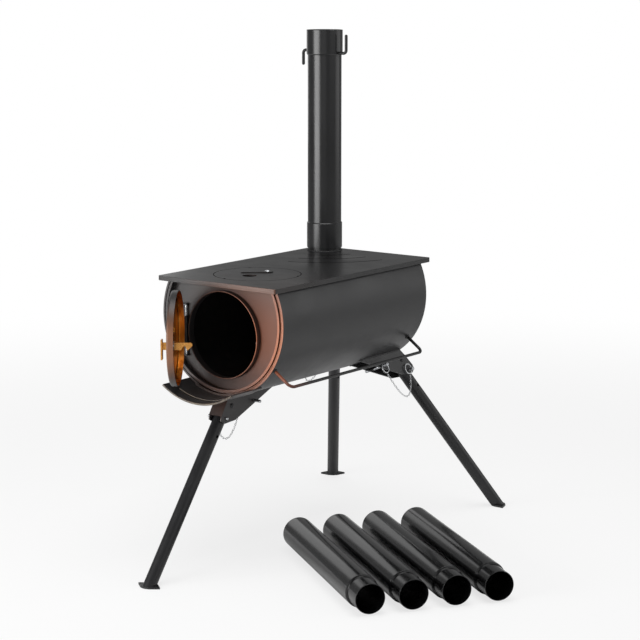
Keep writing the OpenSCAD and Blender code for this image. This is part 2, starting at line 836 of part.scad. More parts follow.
module vent_rivet() color(steel) at_vent() {
    head_y = -vent_t - weld_gap;
    inner_y = door_t + 2 * weld_gap;
    along_y(rivet_r, head_y - seam, inner_y);
    translate([0, head_y, 0]) rotate([90, 0, 0]) dome(rivet_head_r, 1.8);
    translate([0, inner_y, 0]) rotate([-90, 0, 0]) dome(rivet_tail_r, rivet_tail_h);
}

// ---- Flue

module at_flue() {
    translate([-flue_x, flue_y, 0]) children();
}

module flue_spigot() color(black) at_flue() difference() {
    translate([0, 0, top_z]) cylinder(r = spigot_r, h = spigot_h);
    translate([0, 0, top_z - cut]) cylinder(r = spigot_inner_r, h = spigot_h + 2 * cut);
}

module flue_section() color(black) at_flue() {
    foot_z = top_z + flue_lift;
    step_z = foot_z + socket_h;
    stop_z = top_z + spigot_h + rest_gap;
    difference() {
        union() {
            translate([0, 0, foot_z]) cylinder(r = socket_r, h = socket_h);
            translate([0, 0, foot_z]) cylinder(r = tube_r, h = flue_top_z - foot_z);
            translate([0, 0, step_z]) cylinder(r1 = socket_r, r2 = tube_r, h = socket_slope);
        }
        translate([0, 0, foot_z - cut]) cylinder(r = spigot_r + slip, h = stop_z - foot_z + cut);
        translate([0, 0, foot_z]) cylinder(r = tube_r - flue_wall, h = far);
    }
}

module flue_top_collar() color(black) at_flue() difference() {
    union() {
        translate([0, 0, collar_z])
            cylinder(r1 = collar_inner_r + rest_gap, r2 = collar_r, h = collar_slope);
        translate([0, 0, collar_z + collar_slope]) cylinder(r = collar_r, h = collar_h - collar_slope);
    }
    translate([0, 0, collar_z - cut]) cylinder(r = collar_inner_r, h = collar_lap + rest_gap + cut);
    translate([0, 0, shelf_z]) cylinder(r = collar_inner_r, h = collar_cup + cut);
    translate([0, 0, collar_z]) cylinder(r = neck_r, h = collar_h);
}

// A wire hook that stands out along X and turns up by the given height, or down where it is negative
module wire_hook(height) {
    wire = hook_d / 2;
    up = sign(height);
    upright_z = up > 0 ? hook_bend : height + wire;
    difference() {
        union() {
            along_x(wire, collar_r - hook_d, hook_reach - hook_bend);
            translate([hook_reach - hook_bend, 0, up * hook_bend]) rotate([90, 0, 0])
                rotate([0, 0, up > 0 ? -90 : 0])
                    rotate_extrude(angle = 90)
                        translate([hook_bend, 0])
                            circle(r = wire, $fn = fine);
            translate([hook_reach, 0, upright_z]) cylinder(r = wire, h = abs(height) - wire - hook_bend);
            translate([hook_reach, 0, height - up * wire]) sphere(r = wire, $fn = fine);
        }
        translate([0, 0, -hook_d]) cylinder(r = collar_r + weld_gap, h = 2 * hook_d);
    }
}

module guy_hook_right() color(black) at_flue()
    translate([0, 0, collar_z + hook_right_rise]) wire_hook(hook_up);

module guy_hook_left() color(black) at_flue() mirror([1, 0, 0])
    translate([0, 0, collar_z + hook_left_rise]) wire_hook(-hook_down);

// One loose section, lying with its narrowed end at the near end of the row
module loose_section(i) {
    inner_r = loose_r - flue_wall;
    row_heading = loose_heading - 90;
    translate([loose_start_x + i * loose_pitch * cos(row_heading),
        loose_start_y + i * loose_pitch * sin(row_heading), loose_r])
        rotate([0, 0, loose_heading]) rotate([0, 90, 0]) difference() {
            union() {
                cylinder(r = swage_r, h = swage_len);
                translate([0, 0, swage_len - swage_slope])
                    cylinder(r1 = swage_r, r2 = loose_r, h = swage_slope);
                translate([0, 0, swage_len]) cylinder(r = loose_r, h = loose_len - swage_len);
            }
            translate([0, 0, -cut]) cylinder(r = swage_r - flue_wall, h = loose_len);
            translate([0, 0, swage_len + flue_wall]) cylinder(r = inner_r, h = loose_len);
        }
}

module loose_flue_section_1() color(black) loose_section(0);
module loose_flue_section_2() color(black) loose_section(1);
module loose_flue_section_3() color(black) loose_section(2);
module loose_flue_section_4() color(black) loose_section(3);

// ---- Side rail

module side_rail() color(black) at_axis() difference() {
    wire = rail_d / 2;
    reach = barrel_r + rail_out;
    rotate([0, rail_angle, 0]) translate([0, front_y + rail_front, 0]) {
        for (end = [0, 1]) {
            translate([0, end * rail_len, 0]) mirror([0, end, 0]) {
                along_x(wire, barrel_r - wire, reach - rail_bend);
                translate([reach - rail_bend, rail_bend, 0]) rotate([0, 0, -90])
                    rotate_extrude(angle = 90)
                        translate([rail_bend, 0])
                            circle(r = wire, $fn = fine);
            }
        }
        translate([reach, 0, 0]) along_y(wire, rail_bend, rail_len - rail_bend);
    }
    along_y(barrel_r + weld_gap, 0, rear_y + far);
}

// ---- Legs

module at_leg(k) {
    if (k == 0) {
        translate([0, front_y, axis_z]) children();
    } else {
        mirror([k == 2 ? 1 : 0, 0, 0])
            translate([0, rear_y, axis_z]) rotate([0, -roll[k], 0])
                translate([shift[k], 0, 0]) rotate([0, 0, 180]) children();
    }
}

// The leg's own frame: z down the tube from the pivot, x across the bracket
module at_tube(k) {
    at_leg(k) translate([0, pivot_inset, -pivot_drop]) rotate([180 - lean[k], 0, 0]) children();
}

// A side plate: down the front of the nose, along the lower edge and back up inside the barrel's skin
module bracket_side() {
    weld_lap = 15;
    translate([bracket_inset, -barrel_r]) polygon([
        [0, weld_lap],
        [0, 2.5],
        [-9, -9.5],
        [1 - nose_out, -web_depth],
        [-nose_out, 5.5 - nose_depth],
        [9 - nose_out, -nose_depth],
        [36 - nose_out, 1.5 - nose_depth],
        [bracket_len, 1.5],
        [bracket_len, weld_lap]
    ]);
}

module leg_bracket(k) at_leg(k) difference() {
    nose_slope = 35;
    web_reach = bracket_t / cos(nose_slope);
    union() {
        for (s = [-1, 1]) {
            translate([s * (outer_half - bracket_t / 2), 0, 0]) slab_x(bracket_t) bracket_side();
        }
        slab_x(bracket_w) intersection() {
            difference() {
                bracket_side();
                translate([web_reach, 0]) bracket_side();
            }
            translate([-nose_depth, -barrel_r - web_depth]) square(bracket_len / 2);
        }
    }
    translate([shift[k], 0, 0]) along_y(barrel_r + weld_gap, -bracket_len, 2 * bracket_len);
    if (k == 0) {
        along_y(barrel_r + ledge_t + 2 * weld_gap, -bracket_len, ledge_lap + weld_gap);
    }
    translate([0, pivot_inset, -pivot_drop]) bore_x(bolt_r + weld_gap / 2);
    translate([0, lock_y(k), lock_z(k)]) bore_x(pin_r + play);
    translate([0, stow_y, stow_z]) bore_x(pin_r + play);
}

module leg_tube(k) difference() {
    // The tube is drawn a little too long and ends level with the top of its foot
    full = leg_len[k] + leg_head + 2 * leg_r;
    pin_slot_r = pin_r + play;
    slot_end = 4;
    at_tube(k) difference() {
        translate([0, 0, -leg_head]) cylinder(r = leg_r, h = full);
        translate([0, 0, -leg_head - cut]) cylinder(r = leg_r - leg_wall, h = full + 2 * cut);
        bore_x(bolt_r + play);
        translate([0, 0, stow_reach]) bore_x(pin_slot_r);
        rotate([0, 90, 0]) rotate([0, 0, 180 - slot_sweep])
            rotate_extrude(angle = slot_sweep + slot_end)
                translate([lock_reach - pin_slot_r, -bracket_w])
                    square([2 * pin_slot_r, 2 * bracket_w]);
        translate([0, 0, lock_reach]) bore_x(pin_slot_r);
    }
    translate([-far, -far, -far]) cube([2 * far, 2 * far, far + foot_t]);
}

// A round foot with an ear and a peg hole at each side
module foot(k) translate([foot_x(k), foot_y(k), 0]) rotate([0, 0, foot_turn(k)])
    linear_extrude(foot_t) difference() {
        ear_half = foot_r - 1.5;
        ear_root = 8;
        union() {
            circle(r = foot_r);
            polygon([
                [-ear_reach, 0],
                [-ear_root, -ear_half],
                [ear_root, -ear_half],
                [ear_reach, 0],
                [ear_root, ear_half],
                [-ear_root, ear_half]
            ]);
        }
        for (s = [-1, 1]) {
            translate([s * (ear_reach - 5), 0]) circle(r = ear_hole_r);
        }
    }

// Heading of the ears, square to the leg's own upright plane
function foot_turn(k) = k == 0 ? 0
    : leg_side(k) * -atan2(sin(roll[k]) * cos(lean[k]), sin(lean[k]));

module pivot_bolt(k) at_leg(k) translate([0, pivot_inset, -pivot_drop]) {
    half = outer_half + weld_gap;
    along_x(bolt_r, -half, half);
    for (s = [-1, 1]) {
        translate([s * half, 0, 0]) rotate([0, s * 90, 0]) dome(bolt_head_r, 2.6);
    }
}

// A pin with a ball at one end and a round tip that stands out of the bracket at the other
module pull_pin(tip) {
    head_x = -outer_half - pin_head_out;
    tip_x = outer_half + tip - pin_r;
    along_x(pin_r, head_x, tip_x);
    translate([tip_x, 0, 0]) sphere(r = pin_r, $fn = fine);
    translate([head_x, 0, 0]) sphere(r = pin_head_r, $fn = fine);
}

module pull_ring() {
    rotate([0, 90, 0]) rotate_extrude()
        translate([pull_ring_r, 0])
            circle(r = pull_ring_wire, $fn = fine / 2);
}

// Centres of the two rings in leg frame k
function lock_ring_at(k) =
    [ring_x, lock_y(k) + ring_hang * cos(ring_turn), lock_z(k) + ring_hang * sin(ring_turn)];
function stow_ring_at() = [ring_x, stow_y, stow_z - ring_hang];

module lock_pin(k) at_leg(k) translate([0, lock_y(k), lock_z(k)]) pull_pin(lock_tip);
module lock_ring(k) at_leg(k) translate(lock_ring_at(k)) pull_ring();
module stow_pin(k) at_leg(k) translate([0, stow_y, stow_z]) pull_pin(stow_tip);
module stow_ring(k) at_leg(k) translate(stow_ring_at()) pull_ring();

// The chain hangs from one ring to the other as an arc that lies along the bracket's side, clear of
// the leg as it folds
function chain_point(k, t) =
    let (a = lock_ring_at(k))
    let (b = stow_ring_at())
    leg_point(k, a + t * (b - a) - [0, 0, chain_hang + 4 * chain_sag * t * (1 - t)]);

module pin_chain(k) {
    points = [for (i = [0:chain_steps]) chain_point(k, i / chain_steps)];
    sides = 8;
    side_dir = points[chain_steps] - points[0];
    across = cross(side_dir, leg_point(k, [0, 0, 1]) - leg_point(k, [0, 0, 0]));
    wide = across / norm(across);
    rings = [for (i = [0:chain_steps])
        let (d = points[min(i + 1, chain_steps)] - points[max(i - 1, 0)])
        let (up = cross(wide, d / norm(d)))
        for (j = [0:sides - 1])
            points[i] + chain_r * (cos(360 * j / sides) * wide + sin(360 * j / sides) * up)];
    walls = [for (i = [0:chain_steps - 1], j = [0:sides - 1])
        let (n = (j + 1) % sides)
        [i * sides + j, i * sides + n, (i + 1) * sides + n, (i + 1) * sides + j]];
    first_cap = [for (j = [0:sides - 1]) sides - 1 - j];
    last_cap = [for (j = [0:sides - 1]) chain_steps * sides + j];
    polyhedron(points = rings, faces = concat(walls, [first_cap, last_cap]));
}

module front_leg_bracket() color(black) leg_bracket(0);
module front_leg_tube() color(black) leg_tube(0);
module front_foot() color(black) foot(0);
module front_pivot_bolt() color(steel) pivot_bolt(0);
module front_lock_pin() color(steel) lock_pin(0);
module front_lock_ring() color(steel) lock_ring(0);
module front_stow_pin() color(steel) stow_pin(0);
module front_stow_ring() color(steel) stow_ring(0);
module front_pin_chain() color(steel) pin_chain(0);

module right_leg_bracket() color(black) leg_bracket(1);
module right_leg_tube() color(black) leg_tube(1);
module right_foot() color(black) foot(1);
module right_pivot_bolt() color(steel) pivot_bolt(1);
module right_lock_pin() color(steel) lock_pin(1);
module right_lock_ring() color(steel) lock_ring(1);
module right_stow_pin() color(steel) stow_pin(1);
module right_stow_ring() color(steel) stow_ring(1);
module right_pin_chain() color(steel) pin_chain(1);

module left_leg_bracket() color(black) leg_bracket(2);
module left_leg_tube() color(black) leg_tube(2);
module left_foot() color(black) foot(2);
module left_pivot_bolt() color(steel) pivot_bolt(2);
module left_lock_pin() color(steel) lock_pin(2);
module left_lock_ring() color(steel) lock_ring(2);
module left_stow_pin() color(steel) stow_pin(2);
module left_stow_ring() color(steel) stow_ring(2);
module left_pin_chain() color(steel) pin_chain(2);

hotplate();
hotplate_lid();
lid_swing_tab();
lid_rivet();
barrel_shell();
front_plate();
door_ring();
back_plate();
ember_ledge();
ember_tray();
hinge_bracket();
hinge_pin();
door_pan();
door_knuckle();
latch_lever();
latch_bracket();
latch_pin();
latch_keeper();
air_vent_disc();
vent_rivet();
flue_spigot();
flue_section();
flue_top_collar();
guy_hook_right();
guy_hook_left();
loose_flue_section_1();
loose_flue_section_2();
loose_flue_section_3();
loose_flue_section_4();
side_rail();
front_leg_bracket();
front_leg_tube();
front_foot();
front_pivot_bolt();
front_lock_pin();
front_lock_ring();
front_stow_pin();
front_stow_ring();
front_pin_chain();
right_leg_bracket();
right_leg_tube();
right_foot();
right_pivot_bolt();
right_lock_pin();
right_lock_ring();
right_stow_pin();
right_stow_ring();
right_pin_chain();
left_leg_bracket();
left_leg_tube();
left_foot();
left_pivot_bolt();
left_lock_pin();
left_lock_ring();
left_stow_pin();
left_stow_ring();
left_pin_chain();
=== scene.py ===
import bpy
import bmesh
import json
import math
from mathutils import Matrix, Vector


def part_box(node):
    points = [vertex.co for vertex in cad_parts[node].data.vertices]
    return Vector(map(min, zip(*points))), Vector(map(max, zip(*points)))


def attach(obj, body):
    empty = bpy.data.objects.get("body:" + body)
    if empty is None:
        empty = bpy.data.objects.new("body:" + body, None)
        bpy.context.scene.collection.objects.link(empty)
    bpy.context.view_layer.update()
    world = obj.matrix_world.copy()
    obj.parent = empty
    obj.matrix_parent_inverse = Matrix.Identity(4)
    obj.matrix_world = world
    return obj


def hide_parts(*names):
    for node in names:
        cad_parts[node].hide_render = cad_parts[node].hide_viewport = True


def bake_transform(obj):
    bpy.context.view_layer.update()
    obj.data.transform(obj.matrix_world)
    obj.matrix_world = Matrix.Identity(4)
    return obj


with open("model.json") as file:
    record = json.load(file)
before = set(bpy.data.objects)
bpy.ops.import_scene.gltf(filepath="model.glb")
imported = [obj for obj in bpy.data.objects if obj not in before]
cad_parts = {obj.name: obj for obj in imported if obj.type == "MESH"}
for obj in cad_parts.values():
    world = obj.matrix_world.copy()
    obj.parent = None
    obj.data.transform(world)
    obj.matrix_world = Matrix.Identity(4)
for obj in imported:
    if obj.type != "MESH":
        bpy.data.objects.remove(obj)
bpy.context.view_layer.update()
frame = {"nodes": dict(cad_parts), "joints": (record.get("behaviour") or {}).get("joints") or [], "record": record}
nodes = frame["nodes"]
scene = bpy.context.scene
bodyOf = {node: body for body, members in frame["record"]["behaviour"]["bodies"].items() for node in members}
slotOf = {part["node"]: part["material_slot"] for part in frame["record"]["subparts"]}
jointOf = {joint["name"]: joint for joint in frame["joints"]}
mm = 0.001
legNames = ("front", "right", "left")
up = Vector((0, 0, 1))
doorOpen = math.radians(56)  # as the photo shows it
print("frame loaded:", len(nodes), "nodes")

# Places that several pieces share, read from the frame


def centreOf(node):
    low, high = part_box(node)
    return (low + high) / 2


barrelLow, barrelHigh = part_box("barrel_shell")
barrelRadius = (barrelHigh.x - barrelLow.x) / 2
barrelAxis = barrelLow.z + barrelRadius
barrelFront, barrelRear = barrelLow.y, barrelHigh.y
hotplateLow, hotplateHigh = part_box("hotplate")
doorCentre = centreOf("door_ring")
flueAxis = centreOf("flue_spigot")
spigotRadius = (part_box("flue_spigot")[1].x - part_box("flue_spigot")[0].x) / 2

# Materials


def hexToLinear(code):
    values = [int(code[i:i + 2], 16) / 255 for i in (1, 3, 5)]
    return [v / 12.92 if v <= 0.04045 else ((v + 0.055) / 1.055) ** 2.4 for v in values] + [1.0]


def addNode(tree, kind, settings=None, links=None):
    node = tree.nodes.new(kind)
    for key, value in (settings or {}).items():
        if isinstance(key, str) and hasattr(node, key):
            setattr(node, key, value)
        else:
            node.inputs[key].default_value = value
    for key, source in (links or {}).items():
        tree.links.new(source, node.inputs[key])
    return node


def setRamp(node, *stops):
    ramp = node.color_ramp
    while len(ramp.elements) < len(stops):
        ramp.elements.new(1)
    for element, (position, code) in zip(ramp.elements, stops):
        element.position = position
        element.color = hexToLinear(code)


def startMaterial(name, metallic=0.0, ior=1.5):
    material = bpy.data.materials.new(name)
    material.use_nodes = True
    tree = material.node_tree
    tree.nodes.clear()
    shader = addNode(tree, "ShaderNodeBsdfPrincipled", {"Metallic": metallic, "IOR": ior})
    addNode(tree, "ShaderNodeOutputMaterial", {}, {"Surface": shader.outputs["BSDF"]})
    place = addNode(tree, "ShaderNodeTexCoord").outputs["Object"]
    return material, tree, shader, place


# Heat-proof stove paint, sprayed and baked: what gives the eye is a faint orange-peel and patchy sheen.
# Its grit is about 0.2 mm and is drawn coarser, so that it doesn't alias.
stovePaint = {
    "name": "sprayed_stove_paint", "dark": "#1d1d1e", "light": "#272728", "patchMm": 70, "gritMm": 1.2,
    "gritDepthMm": 0.03, "smooth": 0.33, "rough": 0.48, "ior": 1.5, "heat": None,
}
# Painted firelight: the glow of the fire, painted into the colour as a patch that fades from its middle out to its
# reach. high is the colour in the middle, low the one at the edge, and share how much of the black it covers.
frontFirelight = {"middle": (doorCentre.x + 95 * mm, barrelFront, doorCentre.z), "reachMm": 190, "edgeShare": 0.3,
             "low": "#3a322e", "high": "#7c4a34", "frontOnly": True, "share": 0.92}
lipFirelight = dict(frontFirelight, low="#5a5452", high="#b06c4c", share=1.0)
plateLipFirelight = dict(frontFirelight, low="#3b3939", high="#8a5d47", share=1.0)
plateFirelight = dict(frontFirelight, share=0.4)
panRadius = 76 * mm
freeEdge = centreOf("door_pan") + panRadius * Vector((math.cos(doorOpen), -math.sin(doorOpen), 0))
railLow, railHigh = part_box("side_rail")
# Painted firelight round the rail's front arm, and round the free edge of the door's rim
railFirelight = {"middle": (railLow.x, railLow.y, railHigh.z), "reachMm": 75, "edgeShare": 0.0,
            "low": "#121212", "high": "#8a4a30", "frontOnly": False, "share": 0.85}
rimFirelight = {"middle": tuple(freeEdge), "reachMm": 80, "edgeShare": 0.2,
           "low": "#38312d", "high": "#80563c", "frontOnly": False, "share": 1.0}


def makePaint(**changes):
    look = dict(stovePaint, **changes)
    material, tree, shader, place = startMaterial(look["name"], ior=look["ior"])
    patches = addNode(tree, "ShaderNodeTexNoise",
                      {"Scale": 1 / (look["patchMm"] * mm), "Detail": 5.0, "Roughness": 0.6},
                      {"Vector": place})
    tone = addNode(tree, "ShaderNodeValToRGB", {}, {"Fac": patches.outputs["Fac"]})
    setRamp(tone, (0.35, look["dark"]), (0.7, look["light"]))
    color = tone.outputs["Color"]
    # Painted firelight laid over the paint's colour, where the look has it
    if look["heat"]:
        color = addFirelight(tree, place, color, look["heat"])
    tree.links.new(color, shader.inputs["Base Color"])
    grit = addNode(tree, "ShaderNodeTexNoise",
                   {"Scale": 1 / (look["gritMm"] * mm), "Detail": 2.0}, {"Vector": place})
    sheen = addNode(tree, "ShaderNodeMapRange",
                    {"From Min": 0.3, "From Max": 0.7, "To Min": look["smooth"], "To Max": look["rough"]},
                    {"Value": patches.outputs["Fac"]})
    tree.links.new(sheen.outputs["Result"], shader.inputs["Roughness"])
    peel = addNode(tree, "ShaderNodeBump", {"Distance": look["gritDepthMm"] * mm, "Strength": 0.8},
                   {"Height": grit.outputs["Fac"]})
    tree.links.new(peel.outputs["Normal"], shader.inputs["Normal"])
    return material


heatCoreMm = 20  # full strength this far round each patch's middle


# Mixes painted firelight into a colour: full strength in the core, fading out to the patch's reach
def addFirelight(tree, place, color, heat):
    far = addNode(tree, "ShaderNodeVectorMath", {"operation": "DISTANCE", 1: heat["middle"]}, {0: place})
    near = addNode(tree, "ShaderNodeMapRange",
                   {"From Min": heatCoreMm * mm, "From Max": heat["reachMm"] * mm,
                    "To Min": 1.0, "To Max": heat["edgeShare"]},
                   {"Value": far.outputs["Value"]})
    strength = addNode(tree, "ShaderNodeMath", {"operation": "MULTIPLY", "use_clamp": True, 1: heat["share"]},
                       {0: near.outputs["Result"]})
    # With frontOnly, faces that look forward take the most painted firelight, as light from the fire falls on them
    if heat["frontOnly"]:
        facing = addNode(tree, "ShaderNodeSeparateXYZ", {},
                         {0: addNode(tree, "ShaderNodeNewGeometry").outputs["Normal"]})
        forward = addNode(tree, "ShaderNodeMapRange", {"From Min": 0.1, "From Max": -0.6},
                          {"Value": facing.outputs["Y"]})
        strength = addNode(tree, "ShaderNodeMath", {"operation": "MULTIPLY"},
                           {0: strength.outputs[0], 1: forward.outputs["Result"]})
    firelightTone = addNode(tree, "ShaderNodeValToRGB", {}, {"Fac": near.outputs["Result"]})
    setRamp(firelightTone, (heat["edgeShare"], heat["low"]), (0.95, heat["high"]))
    mixed = addNode(tree, "ShaderNodeMix", {"data_type": "RGBA"},
                    {"Factor": strength.outputs[0], 6: color, 7: firelightTone.outputs["Color"]})
    return mixed.outputs[2]


# Zinc-plated small parts: bright metal with fine turning marks, drawn at 0.5 mm
def makePlated(name, dark, light, smooth, rough, streakMm=0.5):
    material, tree, shader, place = startMaterial(name, metallic=1.0)
    stretched = addNode(tree, "ShaderNodeMapping", {"Scale": (1, 1, 6)}, {"Vector": place})
    marks = addNode(tree, "ShaderNodeTexNoise", {"Scale": 1 / (6 * streakMm * mm), "Detail": 3.0},
                    {"Vector": stretched.outputs["Vector"]})
    tone = addNode(tree, "ShaderNodeValToRGB", {}, {"Fac": marks.outputs["Fac"]})
    setRamp(tone, (0.3, dark), (0.75, light))
    sheen = addNode(tree, "ShaderNodeMapRange",
                    {"From Min": 0.3, "From Max": 0.7, "To Min": smooth, "To Max": rough},
                    {"Value": marks.outputs["Fac"]})
    bump = addNode(tree, "ShaderNodeBump",
                   {"Distance": 0.02 * mm, "Strength": 0.5}, {"Height": marks.outputs["Fac"]})
    tree.links.new(tone.outputs["Color"], shader.inputs["Base Color"])
    tree.links.new(sheen.outputs["Result"], shader.inputs["Roughness"])
    tree.links.new(bump.outputs["Normal"], shader.inputs["Normal"])
    return material


# Soot and burnt paint inside the firebox: dead matt, flaky, with grey ash in patches
def makeSoot():
    material, tree, shader, place = startMaterial("firebox_soot")
    flakes = addNode(tree, "ShaderNodeTexNoise", {"Scale": 1 / (14 * mm), "Detail": 8.0, "Roughness": 0.7},
                     {"Vector": place})
    tone = addNode(tree, "ShaderNodeValToRGB", {}, {"Fac": flakes.outputs["Fac"]})
    setRamp(tone, (0.3, "#0d0c0b"), (0.55, "#1a1613"), (0.8, "#2f2822"))
    bump = addNode(tree, "ShaderNodeBump",
                   {"Distance": 0.3 * mm, "Strength": 0.7}, {"Height": flakes.outputs["Fac"]})
    tree.links.new(tone.outputs["Color"], shader.inputs["Base Color"])
    tree.links.new(bump.outputs["Normal"], shader.inputs["Normal"])
    shader.inputs["Roughness"].default_value = 0.9
    return material


# The door's inner face: bare steel with painted firelight and painted reflections in upright golden streaks
def makeFirelitDoorSteel():
    material, tree, shader, place = startMaterial("door_steel_painted_firelight", metallic=1.0)
    streaks = addNode(tree, "ShaderNodeMapping", {"Scale": (140, 140, 5)}, {"Vector": place})
    bands = addNode(tree, "ShaderNodeTexNoise", {"Scale": 1.0, "Detail": 3.0},
                    {"Vector": streaks.outputs["Vector"]})
    tone = addNode(tree, "ShaderNodeValToRGB", {}, {"Fac": bands.outputs["Fac"]})
    setRamp(tone, (0.3, "#8a4c18"), (0.5, "#c67a2a"), (0.72, "#e8ad58"))
    tree.links.new(tone.outputs["Color"], shader.inputs["Base Color"])
    shader.inputs["Roughness"].default_value = 0.34
    return material


blackPaint = makePaint()  # shell, back plate, rear brackets and hinge
# The hotplate's paint is rubbed by pans, so at a low angle it mirrors a little. It takes a weak share of the
# painted firelight.
hotplatePaint = makePaint(name="hotplate_paint", dark="#131314", light="#1b1b1c", smooth=0.26, rough=0.38,
                          heat=plateFirelight)
# The hotplate's front rim: dark paint with painted firelight on it
plateLip = makePaint(name="hotplate_rim_firelight", dark="#1d1c1c", light="#262525", smooth=0.28, rough=0.38,
                     heat=plateLipFirelight)
# Stove paint with painted firelight, for the front plate, door ring, ledge, tray and front leg bracket
firelitPaint = makePaint(name="firelit_stove_paint", heat=frontFirelight)
# Where the sheet is rolled over, the paint is thin and smooth, and painted firelight lies on it as a copper glow
firelitLip = makePaint(name="rolled_lip_firelight", dark="#232122", light="#2c2a2a", smooth=0.26, rough=0.36,
                      heat=lipFirelight)
# The door's paint, with a pool of painted firelight round its free edge
firelitDoorPaint = makePaint(name="door_paint_firelight", smooth=0.3, rough=0.42, heat=rimFirelight)
# Flue tube, drawn and then sprayed: long, even highlights with hardly any peel
fluePaint = makePaint(name="satin_flue_paint", dark="#181819", light="#202021", smooth=0.22, rough=0.27,
                      patchMm=150, gritDepthMm=0.005)
# The loose sections are unburnt enamel, deep black and the glossiest of all
loosePaint = makePaint(name="gloss_flue_enamel", dark="#0a0a0b", light="#0f0f10", smooth=0.15, rough=0.21,
                       patchMm=120, gritDepthMm=0.005)
# Painted shade: a near-black for the grooves, the lid's gap and the lid's edge, where shade falls
paintedShadeLine = makePaint(name="painted_groove_shade", dark="#030303", light="#070606", smooth=0.8, rough=0.95, ior=1.1)
# Sheet edges where handling has worn the paint through to grey steel, made lighter still as a painted highlight
# along the front edges
wornEdgeAndHighlight = makePaint(name="worn_edge_and_painted_highlight", dark="#4d4742", light="#857867", patchMm=30,
                       smooth=0.24, rough=0.36)
# Powder coat on the legs: fine, even and half matt, with a 1 mm pebble
legPaint = makePaint(name="powder_coated_tube", dark="#111113", light="#18181a", smooth=0.34, rough=0.44,
                     gritMm=1.0)
# Round wire, dipped: a dull black that gathers no patches
wire = {"dark": "#0d0d0e", "light": "#141415", "smooth": 0.4, "rough": 0.5, "gritMm": 0.8}
wirePaint = makePaint(name="painted_wire", **wire)
# The rail's wire paint, with painted firelight on its front arm
firelitRailPaint = makePaint(name="rail_paint_firelight", heat=railFirelight, **wire)
# Pins and rivets are bright zinc, the latch lever yellow zinc with painted firelight in its gold, and rings and
# chain polished zinc
zincPlate = makePlated("zinc_plated_steel", "#a9abae", "#d8dadc", 0.2, 0.34)
yellowZincAndFirelight = makePlated("yellow_zinc_and_firelight", "#b5793a", "#eeb264", 0.26, 0.4)
chainPlate = makePlated("bright_chain", "#b7b9bb", "#e6e7e8", 0.14, 0.26)
soot = makeSoot()
firelitDoorSteel = makeFirelitDoorSteel()
print("materials made")

# Shapes


def bake(piece):
    graph = bpy.context.evaluated_depsgraph_get()
    mesh = bpy.data.meshes.new_from_object(piece.evaluated_get(graph))
    piece.modifiers.clear()
    piece.data = mesh


def addPiece(name, mesh, body, slot, *materials, stands=()):
    piece = bpy.data.objects.new(name, mesh)
    scene.collection.objects.link(piece)
    mesh.materials.clear()
    for material in materials:
        mesh.materials.append(material)
    if body:
        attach(piece, body)
    if stands:
        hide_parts(*stands)
    return piece


def shade(piece, sharpAngle=60):
    for face in piece.data.polygons:
        face.use_smooth = True
    piece.data.set_sharp_from_angle(angle=math.radians(sharpAngle))
    flat = piece.modifiers.new("flat faces stay flat", "WEIGHTED_NORMAL")
    flat.keep_sharp = True
    bake(piece)


def dress(node, material, edgeMm=0.5, segments=2):
    solid = bmesh.new()
    solid.from_mesh(nodes[node].data)
    bmesh.ops.remove_doubles(solid, verts=solid.verts, dist=1e-6)
    bmesh.ops.dissolve_limit(solid, angle_limit=math.radians(0.4), verts=solid.verts, edges=solid.edges)
    mesh = bpy.data.meshes.new(node + "_finished")
    solid.to_mesh(mesh)
    solid.free()
    piece = addPiece(node + "_finished", mesh, bodyOf[node], slotOf[node], material, stands=[node])
    if edgeMm:
        edges = piece.modifiers.new("eased edges", "BEVEL")
        edges.width = edgeMm * mm
        edges.segments = segments
        edges.limit_method = "ANGLE"
        edges.angle_limit = math.radians(40)
        bake(piece)
    shade(piece)
    return piece


def paintWhere(piece, material, test):
    piece.data.materials.append(material)
    index = len(piece.data.materials) - 1
    for face in piece.data.polygons:
        if test(face.center, face.normal):
            face.material_index = index


def tube(mesh, path, radius, sides=8, closed=False):
    rings = []
    count = len(path)
    side = None
    for i, point in enumerate(path):
        before = path[i - 1] if i or closed else path[0]
        after = path[(i + 1) % count] if closed or i + 1 < count else path[-1]
        along = (after - before).normalized()
        side = along.orthogonal() if side is None else side - along * side.dot(along)
        side.normalize()
        across = along.cross(side)
        width = radius(i) if callable(radius) else radius
        rings.append([mesh.verts.new(point + width * (math.cos(a) * side + math.sin(a) * across))
                      for a in (2 * math.pi * j / sides for j in range(sides))])
    for i in range(count if closed else count - 1):
        first, second = rings[i], rings[(i + 1) % count]
        for j in range(sides):
            mesh.faces.new((first[j], first[(j + 1) % sides], second[(j + 1) % sides], second[j]))
    if not closed:
        mesh.faces.new(rings[0][::-1])
        mesh.faces.new(rings[-1])


def meshFrom(name, build):
    solid = bmesh.new()
    build(solid)
    mesh = bpy.data.meshes.new(name)
    solid.to_mesh(mesh)
    solid.free()
    return mesh


print("helpers ready")

# Hotplate and lid

lidMiddle = centreOf("hotplate_lid")
lidRadius = (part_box("hotplate_lid")[1].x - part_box("hotplate_lid")[0].x) / 2


def fromLid(point):
    return math.hypot(point.x - lidMiddle.x, point.y - lidMiddle.y)


# Masks for the painted shade in the grooves, in the lid's gap and on the lid's edge
grooves = {"deepestMm": 1.2, "rimMm": 3, "reachMm": 170, "lidSideMm": 3}  # reach: round the flue
lidGap = {"insideMm": 1, "outsideMm": 1.2, "edgeMm": 5}


def inGroove(point, normal):
    depth = hotplateHigh.z - point.z
    fromFlue = math.hypot(point.x - flueAxis.x, point.y - flueAxis.y)
    rim = grooves["rimMm"] * mm
    inside = abs(point.x) < hotplateHigh.x - rim and point.y < hotplateHigh.y - rim
    return (0.02 * mm < depth < grooves["deepestMm"] * mm and inside and fromFlue < grooves["reachMm"] * mm
            and fromLid(point) > lidRadius + grooves["lidSideMm"] * mm)


